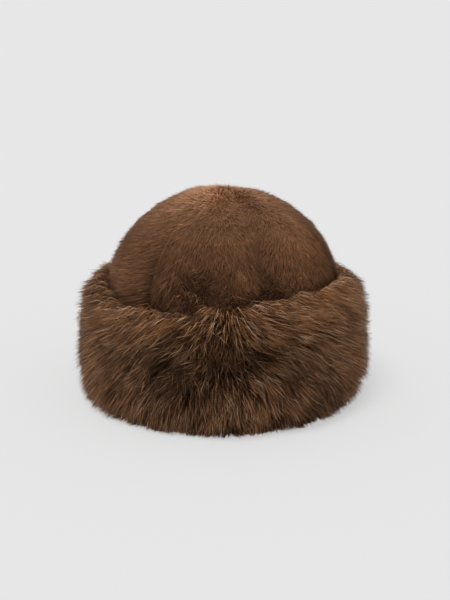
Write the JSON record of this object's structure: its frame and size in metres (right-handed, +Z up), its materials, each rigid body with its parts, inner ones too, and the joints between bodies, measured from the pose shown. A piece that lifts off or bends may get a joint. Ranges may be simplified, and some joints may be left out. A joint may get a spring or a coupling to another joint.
{
  "type": "fur-cuffed beanie",
  "caption": "Fur beanie with a round crown of short-pile panels inside a deep turned-up cuff of long fur, open below for the head.",
  "frame": {"origin": "on the surface that the hat stands on, under the middle of the box round the hat", "axes": "+Z up through the crown, -Y to the front of the hat, +X to the viewer's right as seen from the front"},
  "size_m": [0.2584, 0.2728, 0.183],
  "materials": {
    "short_pile": "short dense fur, matt with a faint sheen",
    "long_fur": "long soft fur in locks, matt with a faint sheen"
  },
  "bodies": {
    "root": {"crown_panel_1": "short_pile", "crown_panel_2": "short_pile", "crown_panel_3": "short_pile", "crown_panel_4": "short_pile", "crown_panel_5": "short_pile", "crown_panel_6": "short_pile", "cuff_fur": "long_fur"}
  },
  "joints": []
}
